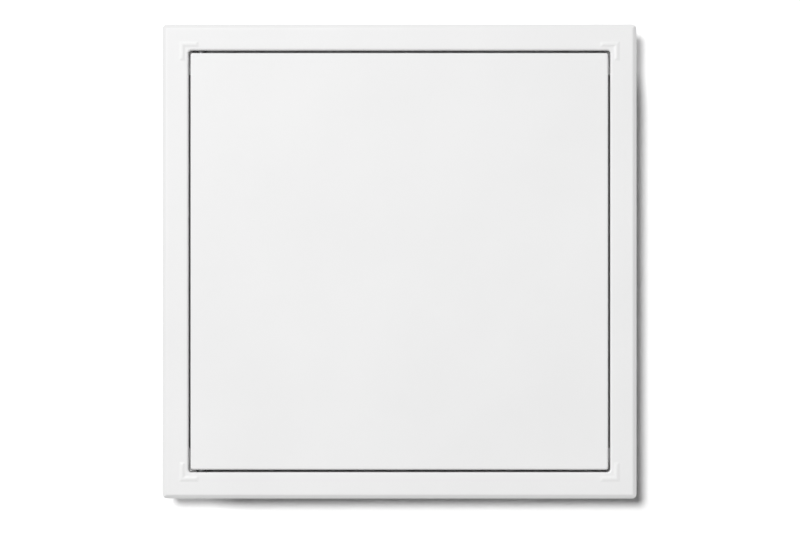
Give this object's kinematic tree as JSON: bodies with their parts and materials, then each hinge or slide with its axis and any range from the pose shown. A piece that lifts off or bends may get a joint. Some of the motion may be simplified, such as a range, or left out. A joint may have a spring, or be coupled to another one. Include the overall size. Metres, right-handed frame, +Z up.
{
  "type": "ceiling access panel",
  "caption": "Square white flush access panel: folded steel frame with sloping rim, push-to-open hinged door on concealed spring bolts, magnetic push latches.",
  "frame": {"origin": "centre of the panel in the plane of the ceiling's surface, where the flange's return lip seats", "axes": "+Y into the void behind the ceiling, -Y out of the visible face, +Z up the face as pictured, +X to the right seen from the room"},
  "size_m": [0.45, 0.0524, 0.45],
  "materials": {
    "white_coat": "white powder coat, semi-gloss",
    "seal_foam": "black closed-cell foam",
    "bush_nylon": "black nylon",
    "latch_plastic": "light grey moulded plastic",
    "cap_plastic": "dark grey moulded plastic",
    "plunger_plastic": "off-white acetal",
    "spring_steel": "drawn spring wire",
    "zinc_steel": "bright zinc plating",
    "magnet_nickel": "nickel plating"
  },
  "bodies": {
    "frame": {"frame_surround": "white_coat", "corner_cleat_1": "white_coat", "corner_cleat_2": "white_coat", "corner_cleat_3": "white_coat", "corner_cleat_4": "white_coat", "stop_latch": "white_coat", "stop_hinge": "white_coat", "stop_top": "white_coat", "stop_bottom": "white_coat", "seal_latch": "seal_foam", "seal_hinge": "seal_foam", "seal_top": "seal_foam", "seal_bottom": "seal_foam", "hinge_bush_top": "bush_nylon", "hinge_bush_bottom": "bush_nylon", "latch_housing_upper": "latch_plastic", "latch_housing_lower": "latch_plastic", "latch_cap_upper": "cap_plastic", "latch_cap_lower": "cap_plastic", "latch_spring_upper": "spring_steel", "latch_spring_lower": "spring_steel", "latch_screws": "zinc_steel"},
    "door": {"door_panel": "white_coat", "stiffener_left": "white_coat", "stiffener_right": "white_coat", "hinge_bracket_top": "white_coat", "hinge_bracket_bottom": "white_coat", "hinge_spring_top": "spring_steel", "hinge_spring_bottom": "spring_steel"},
    "bolt_top": {"hinge_pin_top": "zinc_steel"},
    "bolt_bottom": {"hinge_pin_bottom": "zinc_steel"},
    "plunger_upper": {"latch_plunger_upper": "plunger_plastic", "latch_magnet_upper": "magnet_nickel"},
    "plunger_lower": {"latch_plunger_lower": "plunger_plastic", "latch_magnet_lower": "magnet_nickel"}
  },
  "joints": [
    {"name": "door_hinge", "type": "hinge", "parent": "frame", "child": "door", "pos_m": [-0.1882, 0, 0], "axis": [0, 0, -1], "range_deg": [0, 110]},
    {"name": "bolt_top_slide", "type": "slide", "parent": "door", "child": "bolt_top", "axis": [0, 0, -1], "range_m": [0, 0.007], "stiffness_N_per_m": 600, "springref_m": -0.008, "deforming": ["hinge_spring_top"]},
    {"name": "bolt_bottom_slide", "type": "slide", "parent": "door", "child": "bolt_bottom", "axis": [0, 0, 1], "range_m": [0, 0.007], "stiffness_N_per_m": 600, "springref_m": -0.008, "deforming": ["hinge_spring_bottom"]},
    {"name": "plunger_upper_slide", "type": "slide", "parent": "frame", "child": "plunger_upper", "axis": [0, 1, 0], "range_m": [0, 0.003], "stiffness_N_per_m": 500, "springref_m": -0.006, "deforming": ["latch_spring_upper"]},
    {"name": "plunger_lower_slide", "type": "slide", "parent": "frame", "child": "plunger_lower", "axis": [0, 1, 0], "range_m": [0, 0.003], "stiffness_N_per_m": 500, "springref_m": -0.006, "deforming": ["latch_spring_lower"]}
  ]
}
